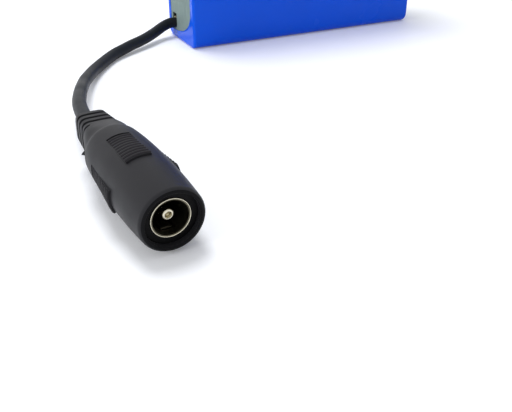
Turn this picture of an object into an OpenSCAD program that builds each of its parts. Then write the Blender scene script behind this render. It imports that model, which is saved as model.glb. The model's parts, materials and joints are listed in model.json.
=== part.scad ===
// Three-cell lithium-ion battery pack in a shrink sleeve, with a moulded socket on a short cable.
// +X runs along the cells, +Y through the thin side, +Z up. The pack stands on its long narrow side.

/* [Cells] */
// Diameter of the bare steel can of a cell
can_diameter = 18.1; // [16:0.1:22]
// Length of a cell over its cap
cell_length = 65; // [50:0.5:72]
// Wall of the steel can
can_wall = 0.25; // [0.2:0.05:0.4]
// Thickness of the film jacket on a cell
jacket_wall = 0.15; // [0.1:0.05:0.2]
// Radius of the raised button on a cell cap
button_radius = 4; // [3:0.1:5]

/* [Brackets] */
// Radial clearance between a jacketed cell and its bracket
cell_clearance = 0.05; // [0.02:0.01:0.2]
// Plastic left between two neighbouring cell holes
cell_web = 0.9; // [0.5:0.1:3]
// Plastic left between a cell hole and the flat side of the bracket
bracket_side = 0.55; // [0.4:0.05:2]
// Length of cell that a bracket holds
bracket_grip = 8; // [6:0.5:12]
// Thickness of the lip that stops a cell
lip_thickness = 1; // [0.8:0.1:2]
// Radius of the weld opening in a lip
lip_hole_radius = 6.5; // [5.5:0.1:7]
// Rounding of the long edges of the brackets
bracket_corner = 2; // [1:0.1:2.5]

/* [Contacts] */
// Width of the nickel strips
strip_width = 8; // [6:0.5:8.5]
// Thickness of the nickel strips
strip_thickness = 0.2; // [0.1:0.05:0.3]
// Clearance round a strip in its channel
strip_clearance = 0.2; // [0.1:0.05:0.5]

/* [Protection board] */
// Depth of the pocket that holds the board and the cable
pocket_depth = 5.9; // [5.5:0.1:10]
// Thickness of the board
board_thickness = 1; // [0.6:0.1:1.6]
// Width of the board
board_width = 15.4; // [13:0.1:16]
// Height of the board
board_height = 41; // [38:0.5:43]
// Thickness of the insulating sheets
sheet_thickness = 0.4; // [0.2:0.1:0.6]

/* [Sleeve] */
// Thickness of the shrink sleeve
sleeve_wall = 0.3; // [0.2:0.05:0.6]
// Rounding of the long edges of the sleeve
sleeve_corner = 2.5; // [2:0.1:3.5]
// Width of the sleeve folded in over each end
end_lip = 2.3; // [1.5:0.1:3]

/* [Cable] */
// Outer diameter of the cable
cable_diameter = 3; // [2.6:0.1:3.4]
// Outer diameter of a single lead
lead_diameter = 1.2; // [0.9:0.1:1.3]
// Length of cable held in the glue inside the pack
anchor_grip = 3.6; // [3:0.1:4]
// Length of cable held in the tail of the connector
tail_grip = 7; // [4:0.5:8]

/* [Connector] */
// Length from the mouth to the end of the tail
connector_length = 37.3; // [34:0.05:42]
// Length of the round barrel
barrel_length = 25.2; // [23:0.1:26]
// Radius of the barrel at the mouth
mouth_radius = 5.5; // [5.3:0.1:6.5]
// Largest radius of the barrel
barrel_radius = 6; // [5.6:0.1:7]
// Radius of the barrel where it meets the tail
shoulder_radius = 5.35; // [4.5:0.05:5.8]
// Half of the width of the tail at its end
tail_half_width = 2.95; // [2.3:0.05:3.5]
// Half of the height of the tail at its end
tail_half_height = 2.95; // [2.3:0.05:3.5]
// Radius of the hard core in the mouth
core_radius = 4.6; // [4.3:0.1:4.8]
// How far the core sits below the rim
core_recess = 1.2; // [0.2:0.05:1.5]
// Outer radius of the contact sleeve
ring_radius = 3.4; // [3.3:0.05:3.6]
// Wall of the contact sleeve
ring_wall = 0.35; // [0.2:0.05:0.4]
// Depth of the socket from the rim
socket_depth = 10.4; // [9:0.1:11]
// Radius of the centre pin
pin_radius = 1; // [0.8:0.05:1.3]
// How far the pin tip sits below the rim
pin_recess = 2; // [0.5:0.1:2.5]
// Height of the grip pads at the mouth end
pad_raise = 0.3; // [0.2:0.05:0.6]
// Width of the grip pads
pad_width = 4; // [3:0.1:4.5]
// Turn of the grip pads about the connector's axis
pad_turn = 7; // [0:1:20]

/* [Hidden] */
$fn = 48;
small = 0.01;

// Cross-section of the pack
cell_radius = can_diameter / 2 + jacket_wall;
hole_radius = cell_radius + cell_clearance;
pitch = 2 * hole_radius + cell_web;
bracket_width = 2 * (hole_radius + bracket_side);
bracket_height = bracket_width + 2 * pitch;
inner_width = bracket_width + 2 * sheet_thickness;
inner_height = bracket_height + 2 * sheet_thickness;
pack_width = inner_width + 2 * sleeve_wall;
pack_height = inner_height + 2 * sleeve_wall;
middle_z = pack_height / 2;
function cell_z(n) = middle_z + (n - 2) * pitch;
function web_z(n) = cell_z(n) + pitch / 2;

// Stations along the pack, from the cable end at -X
end_stack = sleeve_wall + sheet_thickness + lip_thickness;
pack_length = 2 * end_stack + sheet_thickness + pocket_depth + cell_length;
cable_face = -pack_length / 2;
paper_back = cable_face + sleeve_wall + sheet_thickness;
pocket_back = paper_back + pocket_depth;
near_lip = pocket_back + sheet_thickness;
cell_start = near_lip + lip_thickness;
cell_end = cell_start + cell_length;
far_lip = cell_end + lip_thickness;
board_front = pocket_back - board_thickness;
board_drop = 3.7;
board_base = web_z(1) - board_drop;

// Window in each end of the sleeve
window_width = pack_width - 2 * end_lip - 2 * sleeve_wall;
window_height = pack_height - 2 * end_lip - 2 * sleeve_wall;
window_corner = 2.2;

// Welded strips and the wires beside the cells
ear_half = 2;
ear_reach = hole_radius - 1.2;
wire_radius = 0.6;
wire_y = bracket_width / 2 - wire_radius - 0.15;
tail_near = -ear_reach;
tail_width = 3;

// Cable exit and its slot in the end paper
cable_radius = cable_diameter / 2;
exit_side = 0.7;
exit_rise = 0.2;
exit_y = window_width / 2 - cable_radius - exit_side;
exit_z = sleeve_wall + end_lip + cable_radius + exit_rise;
lead_radius = lead_diameter / 2;
lead_offset = 0.7;
cable_clearance = 0.1;
slot_rise = 3;

// Points of the free cable, from the end face to the tail of the connector
route = [
    [-38.7, 5.7, 4.3], [-41, 5, 3.8], [-43.9, 3.1, 3.1], [-47.2, 0.5, 2.6], [-50.5, -1.9, 2.3],
    [-54, -4.2, 2.1], [-57.1, -6.3, 1.8], [-60, -8.5, 1.6], [-62.5, -11.2, 1.5], [-64.8, -14.2, 1.5],
    [-67, -17.4, 1.6], [-69.1, -20.8, 1.8], [-71, -24.5, 2.1], [-72.7, -28.4, 2.6], [-74.3, -32.6, 3.2],
    [-75.7, -36.9, 3.8], [-77, -41.3, 4.5], [-78.2, -45.6, 5.1], [-79.3, -50, 5.8], [-80.2, -54, 6.4],
    [-80.9, -58, 6.9], [-81.4, -62, 7.3], [-81.7, -66, 7.7]
];

// Place of the connector: its mouth on the surface beside the pack, its tail held up a little by the cable
mouth = [-78.95, -107.85, 6];
heading = 94.3;
tilt = 3;
axis = [cos(tilt) * cos(heading), cos(tilt) * sin(heading), sin(tilt)];
tail = mouth + axis * connector_length;
tail_inside = mouth + axis * (connector_length - tail_grip);

// Inside of the connector
pin_shank = pin_radius - 0.2;
core_back = socket_depth + 3.2;
chamber_radius = ring_radius + 0.1;
chamber_back = connector_length - tail_grip - 2;
tab_back = core_back + 3.5;
pad_start = 10.7;
pad_end = 20.2;
pad_grooves = 9;
groove_width = 0.35;
groove_depth = 0.25;
barrel_middle = 11.6;
barrel_steps = 12;
rim_round = 0.35;
relief_grooves = 4;
relief_start = connector_length - 7.55;
relief_pitch = 1.85;
relief_gap = 0.6;
relief_cut = 0.5;
relief_taper = 0.08;
relief_corner = 1;
leaf_width = 2;
leaf_thickness = 0.25;
leaf_root = 9.6;
leaf_tip = 3;
leaf_window = 0.3;
leaf_root_radius = 3.2;
leaf_tip_radius = 2.85;

// ---- shared shapes ----

module rounded_rectangle(width, height, corner) {
    square([width - 2 * corner, height], center = true);
    square([width, height - 2 * corner], center = true);
    for (x = [-1, 1], y = [-1, 1]) {
        translate([x * (width / 2 - corner), y * (height / 2 - corner)]) circle(corner);
    }
}

// A plate across the pack: its outline lies in Y and Z, and it starts at x
module cross_plate(x, thickness) {
    translate([x, 0, middle_z]) rotate([90, 0, 90]) linear_extrude(thickness) children();
}

// A box from its lowest corner and its size
module block(corner, size) {
    translate(corner) cube(size);
}

function unit(v) = v / norm(v);
function direction(points, i) = unit(points[min(i + 1, len(points) - 1)] - points[max(i - 1, 0)]);
function ring_side(points, i, reference) = unit(cross(direction(points, i), reference));
function ring_points(points, i, radius, sides, reference) =
    let (side = ring_side(points, i, reference), rise = cross(side, direction(points, i)), turn = 360 / sides)
    [for (k = [0 : sides - 1]) points[i] + radius * (cos(k * turn) * side + sin(k * turn) * rise)];

// A tube of one radius swept along points; the reference is a direction that it never runs along
module swept_tube(points, radius, reference = [0, 0, 1], sides = 8) {
    rings = len(points);
    corners = [for (i = [0 : rings - 1]) each ring_points(points, i, radius, sides, reference)];
    walls = [
        for (i = [0 : rings - 2], k = [0 : sides - 1])
            let (next = (k + 1) % sides)
            [i * sides + k, (i + 1) * sides + k, (i + 1) * sides + next, i * sides + next]
    ];
    near_cap = [for (k = [0 : sides - 1]) k];
    far_cap = [for (k = [sides - 1 : -1 : 0]) (rings - 1) * sides + k];
    polyhedron(concat(corners), concat(walls, [near_cap, far_cap]), convexity = 6);
}

// ---- sleeve and insulating papers ----

module shrink_sleeve() {
    color([0.09, 0.29, 0.72]) difference() {
        cross_plate(cable_face, pack_length) rounded_rectangle(pack_width, pack_height, sleeve_corner);
        cross_plate(cable_face + sleeve_wall, pack_length - 2 * sleeve_wall)
            rounded_rectangle(inner_width, inner_height, sleeve_corner - sleeve_wall);
        cross_plate(cable_face - 1, pack_length + 2)
            rounded_rectangle(window_width, window_height, window_corner);
    }
}

module end_paper(x) {
    cross_plate(x, sheet_thickness)
        rounded_rectangle(inner_width, inner_height, sleeve_corner - sleeve_wall);
}

module cable_end_paper() {
    slot_radius = cable_radius + cable_clearance;
    color([0.52, 0.58, 0.54]) difference() {
        end_paper(cable_face + sleeve_wall);
        translate([cable_face, exit_y, exit_z]) rotate([0, 90, 0]) cylinder(r = slot_radius, h = 2);
        block([cable_face, exit_y - slot_radius, exit_z], [2, 2 * slot_radius, slot_rise]);
    }
}

module far_end_paper() {
    color([0.52, 0.58, 0.54]) end_paper(far_lip);
}

// Flat sheets between the brackets and the sleeve
module side_paper(side) {
    height = bracket_height - 2 * bracket_corner;
    y = side > 0 ? bracket_width / 2 : -bracket_width / 2 - sheet_thickness;
    block([paper_back, y, middle_z - height / 2], [far_lip - paper_back, sheet_thickness, height]);
}

module front_board_paper() {
    color([0.52, 0.58, 0.54]) side_paper(-1);
}

module back_board_paper() {
    color([0.52, 0.58, 0.54]) side_paper(1);
}

module edge_paper(z) {
    width = bracket_width - 2 * bracket_corner;
    block([paper_back, -width / 2, z], [far_lip - paper_back, width, sheet_thickness]);
}

module top_paper() {
    color([0.52, 0.58, 0.54]) edge_paper(middle_z + bracket_height / 2);
}

module bottom_paper() {
    color([0.52, 0.58, 0.54]) edge_paper(sleeve_wall);
}

// ---- cell brackets ----

// One bracket with its lip towards -X; lip_x is the outer face of the lip
module bracket(lip_x) {
    difference() {
        cross_plate(lip_x, lip_thickness + bracket_grip)
            rounded_rectangle(bracket_width, bracket_height, bracket_corner);
        for (n = [1 : 3]) {
            translate([lip_x + lip_thickness, 0, cell_z(n)]) rotate([0, 90, 0])
                cylinder(r = hole_radius, h = bracket_grip + 1, $fn = 96);
            translate([lip_x - 1, 0, cell_z(n)]) rotate([0, 90, 0])
                cylinder(r = lip_hole_radius, h = lip_thickness + 2);
        }
        block([lip_x - 1, -strip_width / 2 - strip_clearance, cell_z(1)],
            [lip_thickness + 1, strip_width + 2 * strip_clearance, 2 * pitch]);
        for (n = [1 : 2]) ear_cuts(lip_x, web_z(n));
    }
}

// Room in the lip for a strip's ear, and a groove for the wire that passes there
module ear_cuts(lip_x, z) {
    ear_room = ear_half + strip_clearance;
    block([lip_x - 1, -bracket_width / 2 + bracket_side, z - ear_room],
        [lip_thickness + 1, bracket_width - 2 * bracket_side, 2 * ear_room]);
    block([lip_x - 1, wire_y - wire_radius - cable_clearance, z - wire_radius - cable_clearance],
        [lip_thickness + bracket_grip + 2, bracket_width / 2 - wire_y + wire_radius + cable_clearance + 1,
            2 * (wire_radius + cable_clearance)]);
}

module cable_end_bracket() {
    color([0.12, 0.12, 0.13]) bracket(near_lip);
}

module far_end_bracket() {
    color([0.12, 0.12, 0.13]) mirror([1, 0, 0]) bracket(-far_lip);
}

// ---- cells: each is drawn upright with its cap up, then laid along the pack ----

module laid_cell(n) {
    flip = n == 2 ? -1 : 1;
    translate([flip > 0 ? cell_start : cell_end, 0, cell_z(n)]) rotate([0, 90 * flip, 0]) children();
}

can_radius = can_diameter / 2;
can_inside = can_radius - can_wall;
can_base = 0.3;
bead_depth = 0.75;
bead_low = cell_length - 4.4;
bead_high = cell_length - 3.2;
crimp_top = cell_length - 0.35;
crimp_under = crimp_top - can_wall;
crimp_radius = can_radius - 1.65;
cap_low = cell_length - 2.6;
cap_high = cell_length - 1.8;
cap_radius = can_radius - 0.85;

module can() {
    bead_middle = (bead_low + bead_high) / 2;
    color([0.75, 0.76, 0.78]) rotate_extrude($fn = 64) polygon([
        [0, 0], [can_radius, 0], [can_radius, bead_low], [can_radius - bead_depth, bead_middle],
        [can_radius, bead_high], [can_radius, crimp_top], [crimp_radius, crimp_top],
        [crimp_radius, crimp_under], [can_inside, crimp_under], [can_inside, bead_high],
        [can_inside - bead_depth, bead_middle], [can_inside, bead_low], [can_inside, can_base], [0, can_base]
    ]);
}

module jacket() {
    color([0.35, 0.55, 0.38]) difference() {
        cylinder(r = cell_radius, h = crimp_top, $fn = 64);
        translate([0, 0, -1]) cylinder(r = can_radius, h = cell_length + 2, $fn = 64);
    }
}

module cap() {
    color([0.8, 0.8, 0.82]) {
        translate([0, 0, cap_low]) cylinder(r = cap_radius, h = cap_high - cap_low);
        translate([0, 0, cap_high]) cylinder(r = button_radius, h = cell_length - cap_high);
    }
}

module gasket() {
    color([0.2, 0.2, 0.22]) difference() {
        translate([0, 0, bead_high]) cylinder(r = can_inside, h = crimp_under - bead_high, $fn = 64);
        translate([0, 0, bead_high - 1]) cylinder(r = crimp_radius, h = 5);
        translate([0, 0, cap_low]) cylinder(r = cap_radius, h = cap_high - cap_low);
    }
}

module washer() {
    color([0.93, 0.93, 0.9]) difference() {
        translate([0, 0, crimp_top]) cylinder(r = cell_radius - 0.1, h = 0.25, $fn = 64);
        translate([0, 0, crimp_top - 1]) cylinder(r = button_radius + 0.8, h = 3);
    }
}

module winding() {
    color([0.25, 0.22, 0.2]) difference() {
        translate([0, 0, can_base]) cylinder(r = can_inside, h = bead_low - 0.6 - can_base, $fn = 64);
        translate([0, 0, -1]) cylinder(r = 1.2, h = cell_length);
    }
}

// ---- welded strips ----

// A strip across the cell ends, from cell centre z1 to z2, with an ear at ear_z towards ear_side
module strip(x, z1, z2, ear_z, ear_side) {
    block([x, -strip_width / 2, z1], [strip_thickness, strip_width, z2 - z1]);
    block([x, ear_side > 0 ? 0 : -ear_reach, ear_z - ear_half], [strip_thickness, ear_reach, 2 * ear_half]);
}

strip_end = 4.4;
near_strip = cell_start - strip_thickness;
far_strip = cell_end;

// The fold of a cable-end strip that reaches through the insulator to the back of the board
module strip_tail(z) {
    block([pocket_back, tail_near, z - strip_thickness / 2],
        [near_strip - pocket_back + small, tail_width, strip_thickness]);
}

module negative_strip() {
    color([0.78, 0.78, 0.76]) {
        strip(near_strip, cell_z(1) - strip_end, web_z(1) + ear_half, web_z(1), -1);
        strip_tail(web_z(1));
    }
}

module first_link_strip() {
    color([0.78, 0.78, 0.76]) strip(far_strip, cell_z(1) - strip_end, cell_z(2) + strip_end, web_z(1), 1);
}

module second_link_strip() {
    color([0.78, 0.78, 0.76]) {
        strip(near_strip, cell_z(2) - strip_end, cell_z(3) + strip_end, web_z(2), -1);
        strip_tail(web_z(2));
    }
}

module positive_strip() {
    color([0.78, 0.78, 0.76]) strip(far_strip, web_z(2) - ear_half, cell_z(3) + strip_end, web_z(2), 1);
}

// ---- protection board and wiring ----

module board_insulator() {
    color([0.52, 0.58, 0.54]) difference() {
        cross_plate(pocket_back, sheet_thickness)
            rounded_rectangle(bracket_width, bracket_height, bracket_corner);
        for (n = [1 : 2]) {
            strip_hole = [tail_width + 2 * strip_clearance, strip_thickness + 2 * strip_clearance];
            wire_hole = wire_radius + cable_clearance;
            block([pocket_back - 1, tail_near - strip_clearance, web_z(n) - strip_hole[1] / 2],
                [sheet_thickness + 2, strip_hole[0], strip_hole[1]]);
            block([pocket_back - 1, wire_y - wire_hole, web_z(n) - wire_hole],
                [sheet_thickness + 2, bracket_width / 2, 2 * wire_hole]);
        }
    }
}

module protection_board() {
    color([0.1, 0.35, 0.18])
        block([board_front, -board_width / 2, board_base], [board_thickness, board_width, board_height]);
}

transistor_height = 1.6;
module power_transistors() {
    color([0.1, 0.1, 0.1]) for (k = [0 : 1]) {
        block([board_front - transistor_height, -5.5, board_base + 5 + 8 * k], [transistor_height, 4, 5]);
    }
}

module protection_chip() {
    color([0.12, 0.12, 0.12])
        block([board_front - 1.2, -5, board_base + 24], [1.2, 4.4, 5]);
}

module small_components() {
    color([0.72, 0.62, 0.45]) {
        for (k = [0 : 3]) block([board_front - 0.6, -0.2, board_base + 19 + 3.4 * k], [0.6, 1, 2]);
        block([board_front - 0.7, -6, board_base + 33], [0.7, 6.4, 3.2]);
    }
}

pad_y = 5.4;
pad_radius = 1.2;
joint_rise = 0.9;
joint_top = 0.7;
lead_pads = [board_base + 3.5, board_base + 9];
wire_pads = [board_base + 15, board_base + 30];
pad_heights = concat(lead_pads, wire_pads);
module solder_joints() {
    color([0.8, 0.8, 0.78]) for (z = pad_heights) {
        translate([board_front, pad_y, z]) rotate([0, -90, 0])
            cylinder(r1 = pad_radius, r2 = joint_top, h = joint_rise);
    }
}

// A wire from a strip's ear, along the groove at its web and round the board's edge to its solder joint
module cell_wire(n, pad_z) {
    end_x = board_front - joint_rise - wire_radius;
    z = web_z(n);
    swept_tube([
        [far_strip, wire_y - 0.1, z], [0, wire_y - 0.1, z], [pocket_back - 0.1, wire_y - 0.1, z],
        [board_front - 0.2, wire_y - 0.15, z + (pad_z - z) * 0.1],
        [end_x + 0.1, wire_y - 0.8, z + (pad_z - z) * 0.35],
        [end_x, pad_y + 1.2, z + (pad_z - z) * 0.7], [end_x, pad_y, pad_z]
    ], wire_radius, [0.1, 1, 0.05]);
}

module sense_wire() {
    color([0.9, 0.9, 0.88]) cell_wire(1, wire_pads[0]);
}

module positive_wire() {
    color([0.75, 0.08, 0.06]) cell_wire(2, wire_pads[1]);
}

anchor_end = cable_face + sleeve_wall + anchor_grip;

// A lead from the end of the cable jacket, up the pocket, to its solder joint on the board
module output_lead(offset, pad_z) {
    end_x = board_front - joint_rise - lead_radius;
    y = exit_y + offset;
    pad_side = pad_y + 1.9 * offset;
    turn_x = anchor_end + 1.75;
    swept_tube([
        [anchor_end, y, exit_z], [anchor_end + 0.4, y, exit_z], [anchor_end + 1.3, y, exit_z + 0.6],
        [turn_x, y, exit_z + 1.8], [turn_x - 0.1, y, exit_z + 4],
        [(turn_x + end_x) / 2, (y + pad_side) / 2, (exit_z + 4 + board_base) / 2 + 1.5],
        [end_x, pad_side, board_base + 0.5], [end_x, pad_side, pad_z - 1.5], [end_x, pad_y, pad_z]
    ], lead_radius, [0, 1, 0]);
}

module red_lead() {
    color([0.75, 0.08, 0.06]) output_lead(lead_offset, lead_pads[1]);
}

module black_lead() {
    color([0.06, 0.06, 0.06]) output_lead(-lead_offset, lead_pads[0]);
}

// Lump of glue round the cable's end
glue_side = 4.4;
glue_width = 7.6;
glue_height = 5.2;
module glue_anchor() {
    anchor_back = anchor_end - 0.3;
    color([0.8, 0.76, 0.62]) difference() {
        block([paper_back, exit_y - glue_side, sleeve_wall + sheet_thickness],
            [anchor_back - paper_back, glue_width, glue_height]);
        translate([cable_face, exit_y, exit_z]) rotate([0, 90, 0])
            cylinder(r = cable_radius, h = anchor_grip + 1);
    }
}

// ---- cable ----

module output_cable() {
    inside = [[anchor_end, exit_y, exit_z], [cable_face, exit_y, exit_z]];
    color([0.07, 0.08, 0.1]) swept_tube(concat(inside, route, [tail, tail_inside]), cable_radius);
}

// ---- connector: drawn along X with its mouth at 0 and its tail towards +X, then set in place ----

module set_connector() {
    translate(mouth) rotate([0, -tilt, heading]) children();
}

// A solid of revolution about the connector's axis from a profile of [radius, distance from the mouth]
module turned(profile) {
    rotate([0, 90, 0]) rotate_extrude($fn = 64) polygon(profile);
}

function front_drop(s) = (barrel_radius - mouth_radius) * pow((barrel_middle - s) / barrel_middle, 2);
function back_share(s) = (s - barrel_middle) / (barrel_length - barrel_middle);
function back_drop(s) = (barrel_radius - shoulder_radius) * pow(back_share(s), 2.5);
function barrel_at(s) = barrel_radius - (s < barrel_middle ? front_drop(s) : back_drop(s));

module barrel() {
    stations = [for (k = [0 : barrel_steps]) rim_round + (barrel_length - rim_round) * k / barrel_steps];
    turned(concat(
        [[0, 0], [mouth_radius - rim_round, 0]],
        [for (s = stations) [barrel_at(s), s]],
        [[0, barrel_length]]
    ));
}

// One grip pad on the +Z side, flush with the barrel at its tail end
module grip_pad() {
    low = barrel_at(pad_end) - 1;
    difference() {
        translate([0, pad_width / 2, 0]) rotate([90, 0, 0]) linear_extrude(pad_width) polygon([
            [pad_start, low], [pad_start, barrel_at(pad_start) + pad_raise], [pad_end, barrel_at(pad_end)],
            [pad_end, low]
        ]);
        for (k = [1 : pad_grooves]) {
            s = pad_start + (pad_end - pad_start) * k / (pad_grooves + 1);
            top = barrel_at(pad_start) + pad_raise
                + (barrel_at(pad_end) - barrel_at(pad_start) - pad_raise) * k / (pad_grooves + 1);
            block([s - groove_width / 2, -pad_width / 2 - 1, top - groove_depth],
                [groove_width, pad_width + 2, 1]);
        }
    }
}

// Half size of the square tail at a distance from the mouth
function relief_half(s, end_half) = end_half + relief_taper * (connector_length - s);

module relief_block(from, to, cut) {
    half_width = relief_half((from + to) / 2, tail_half_width) - cut;
    half_height = relief_half((from + to) / 2, tail_half_height) - cut;
    translate([from, 0, 0]) rotate([90, 0, 90]) linear_extrude(to - from)
        rounded_rectangle(2 * half_width, 2 * half_height, relief_corner);
}

// The flare behind the barrel, then the square tail with its grooves
module strain_relief() {
    flare_start = shoulder_radius - 0.2;
    flare_end = relief_half(relief_start, tail_half_width);
    turned([[0, barrel_length - 1], [flare_start, barrel_length - 1], [flare_start, barrel_length],
        [flare_end, relief_start], [0, relief_start]]);
    relief_block(relief_start - 2, connector_length, relief_cut);
    for (k = [0 : relief_grooves - 1]) {
        rib_start = relief_start + relief_gap + k * relief_pitch;
        rib_end = k < relief_grooves - 1 ? rib_start + relief_pitch - relief_gap : connector_length;
        relief_block(rib_start, rib_end, 0);
    }
}

module connector_housing() {
    color([0.13, 0.13, 0.14]) set_connector() difference() {
        union() {
            barrel();
            strain_relief();
            for (a = [0, 90, 180, 270]) rotate([a - pad_turn, 0, 0]) grip_pad();
        }
        turned([[0, -1], [core_radius, -1], [core_radius, core_back], [0, core_back]]);
        turned([[0, core_back - 1], [chamber_radius, core_back - 1],
            [chamber_radius, chamber_back], [0, chamber_back]]);
        turned([[0, 1], [cable_radius, 1],
            [cable_radius, connector_length + 1], [0, connector_length + 1]]);
    }
}

ring_inside = ring_radius - ring_wall;
leaf_slot_half = leaf_width / 2 + leaf_window;

module leaf_slot(inner, outer) {
    block([leaf_tip - leaf_window, -leaf_slot_half, -outer],
        [leaf_root - leaf_tip + 2 * leaf_window, 2 * leaf_slot_half, outer - inner]);
}

module connector_core() {
    color([0.06, 0.06, 0.06]) set_connector() difference() {
        turned([[pin_shank, core_back], [pin_shank, socket_depth], [ring_radius, socket_depth],
            [ring_radius, core_recess], [core_radius, core_recess], [core_radius, core_back]]);
        leaf_slot(ring_radius - 1, core_radius - 0.3);
        block([socket_depth - 1, -ring_radius, -1], [core_back - socket_depth + 2, ring_wall + 0.1, 2]);
    }
}

module contact_sleeve() {
    color([0.78, 0.78, 0.76]) set_connector() {
        difference() {
            turned([[ring_inside, core_recess - 0.1], [ring_radius, core_recess - 0.1],
                [ring_radius, socket_depth], [ring_inside, socket_depth]]);
            leaf_slot(0, ring_radius + 1);
        }
        block([socket_depth - 0.5, -ring_radius + 0.05, -0.9],
            [tab_back - socket_depth + 0.5, ring_wall - 0.1, 1.8]);
    }
}

module centre_pin() {
    tip = pin_recess;
    color([0.8, 0.79, 0.75]) set_connector() turned([
        [0, tip + 1.6], [0.5, tip + 1.6], [0.5, tip + 0.1], [0.6, tip], [pin_radius - 0.25, tip],
        [pin_radius - 0.07, tip + 0.08], [pin_radius, tip + 0.3], [pin_radius, socket_depth],
        [pin_shank, socket_depth], [pin_shank, tab_back], [0, tab_back]
    ]);
}

module contact_leaf() {
    reach = leaf_root - leaf_tip;
    color([0.78, 0.78, 0.76]) set_connector() translate([leaf_root, 0, -leaf_root_radius])
        rotate([0, atan2(leaf_root_radius - leaf_tip_radius, reach), 0])
            block([-reach, -leaf_width / 2, -leaf_thickness / 2], [reach, leaf_width, leaf_thickness]);
}

module connector_lead(start, offset) {
    jacket_end = connector_length - tail_grip;
    set_connector() swept_tube([
        [tab_back, start, 0], [tab_back + 2, start, 0],
        [(tab_back + jacket_end) / 2, (start + offset) / 2, 0], [jacket_end - 2, offset, 0],
        [jacket_end, offset, 0]
    ], lead_radius);
}

module connector_red_lead() {
    color([0.75, 0.08, 0.06]) connector_lead(0, lead_offset);
}

module connector_black_lead() {
    color([0.06, 0.06, 0.06]) connector_lead(-ring_radius + ring_wall / 2 + 0.75, -lead_offset);
}

shrink_sleeve();
cable_end_paper();
far_end_paper();
front_board_paper();
back_board_paper();
top_paper();
bottom_paper();
cable_end_bracket();
far_end_bracket();
laid_cell(1) can();  // cell_1_can
laid_cell(1) jacket();  // cell_1_jacket
laid_cell(1) cap();  // cell_1_cap
laid_cell(1) gasket();  // cell_1_gasket
laid_cell(1) washer();  // cell_1_washer
laid_cell(1) winding();  // cell_1_winding
laid_cell(2) can();  // cell_2_can
laid_cell(2) jacket();  // cell_2_jacket
laid_cell(2) cap();  // cell_2_cap
laid_cell(2) gasket();  // cell_2_gasket
laid_cell(2) washer();  // cell_2_washer
laid_cell(2) winding();  // cell_2_winding
laid_cell(3) can();  // cell_3_can
laid_cell(3) jacket();  // cell_3_jacket
laid_cell(3) cap();  // cell_3_cap
laid_cell(3) gasket();  // cell_3_gasket
laid_cell(3) washer();  // cell_3_washer
laid_cell(3) winding();  // cell_3_winding
negative_strip();
first_link_strip();
second_link_strip();
positive_strip();
board_insulator();
protection_board();
power_transistors();
protection_chip();
small_components();
solder_joints();
sense_wire();
positive_wire();
red_lead();
black_lead();
glue_anchor();
output_cable();
connector_housing();
connector_core();
contact_sleeve();
centre_pin();
contact_leaf();
connector_red_lead();
connector_black_lead();
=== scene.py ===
import json
import math
import bpy
import bmesh
from mathutils import Matrix, Vector, noise


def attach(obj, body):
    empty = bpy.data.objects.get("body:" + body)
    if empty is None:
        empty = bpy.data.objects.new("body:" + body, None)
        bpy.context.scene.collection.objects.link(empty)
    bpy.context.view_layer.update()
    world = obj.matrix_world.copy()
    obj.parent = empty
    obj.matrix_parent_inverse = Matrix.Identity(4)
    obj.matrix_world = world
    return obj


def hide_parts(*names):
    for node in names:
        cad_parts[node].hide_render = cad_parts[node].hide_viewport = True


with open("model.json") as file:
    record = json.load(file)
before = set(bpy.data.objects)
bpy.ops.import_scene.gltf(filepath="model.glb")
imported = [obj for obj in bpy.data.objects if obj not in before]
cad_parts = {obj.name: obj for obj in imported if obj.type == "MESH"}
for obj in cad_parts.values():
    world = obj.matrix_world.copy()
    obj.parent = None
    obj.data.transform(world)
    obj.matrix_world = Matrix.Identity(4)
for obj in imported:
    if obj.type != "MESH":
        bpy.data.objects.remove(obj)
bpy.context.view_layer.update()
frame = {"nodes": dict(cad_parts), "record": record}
mm = 0.001  # lengths below are in millimetres, meshes in metres
packBody = "pack"
print("frame loaded:", len(frame["nodes"]), "nodes")

# the camera stands low in front of the cable end and looks down at the socket
cameraSettings = {
    "place": (-106.6, -192.3, 58.6), "heading": 26.06, "pitch": 29.58, "lens": 48.27, "sensor": 36,
    "clipStart": 0.005, "clipEnd": 20,  # in metres
}


def makeCamera(settings):
    data = bpy.data.cameras.new("camera")
    data.lens = settings["lens"]
    data.sensor_width = settings["sensor"]
    data.clip_start = settings["clipStart"]
    data.clip_end = settings["clipEnd"]
    camera = bpy.data.objects.new("camera", data)
    camera.location = Vector(settings["place"]) * mm
    camera.rotation_euler = (math.radians(90 - settings["pitch"]), 0, math.radians(-settings["heading"]))
    bpy.context.scene.collection.objects.link(camera)
    bpy.context.scene.camera = camera


makeCamera(cameraSettings)
print("camera placed")


# materials: each is a base colour with a soft mottle, an uneven gloss and a fine grain

def tone(red, green, blue):  # a display colour from 0 to 255, as the linear colour that shaders take
    def linear(value):
        value = value / 255
        return value / 12.92 if value <= 0.04045 else ((value + 0.055) / 1.055) ** 2.4
    return (linear(red), linear(green), linear(blue), 1)


def node(tree, kind, **settings):
    made = tree.nodes.new(kind)
    for name, value in settings.items():
        setattr(made, name, value)
    return made


def noiseField(tree, scale, detail, stretch):
    place = node(tree, "ShaderNodeTexCoord")
    mapping = node(tree, "ShaderNodeMapping")
    mapping.inputs["Scale"].default_value = stretch
    texture = node(tree, "ShaderNodeTexNoise")
    texture.inputs["Scale"].default_value = scale
    texture.inputs["Detail"].default_value = detail
    tree.links.new(place.outputs["Object"], mapping.inputs["Vector"])
    tree.links.new(mapping.outputs["Vector"], texture.inputs["Vector"])
    return texture.outputs["Fac"]


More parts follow.
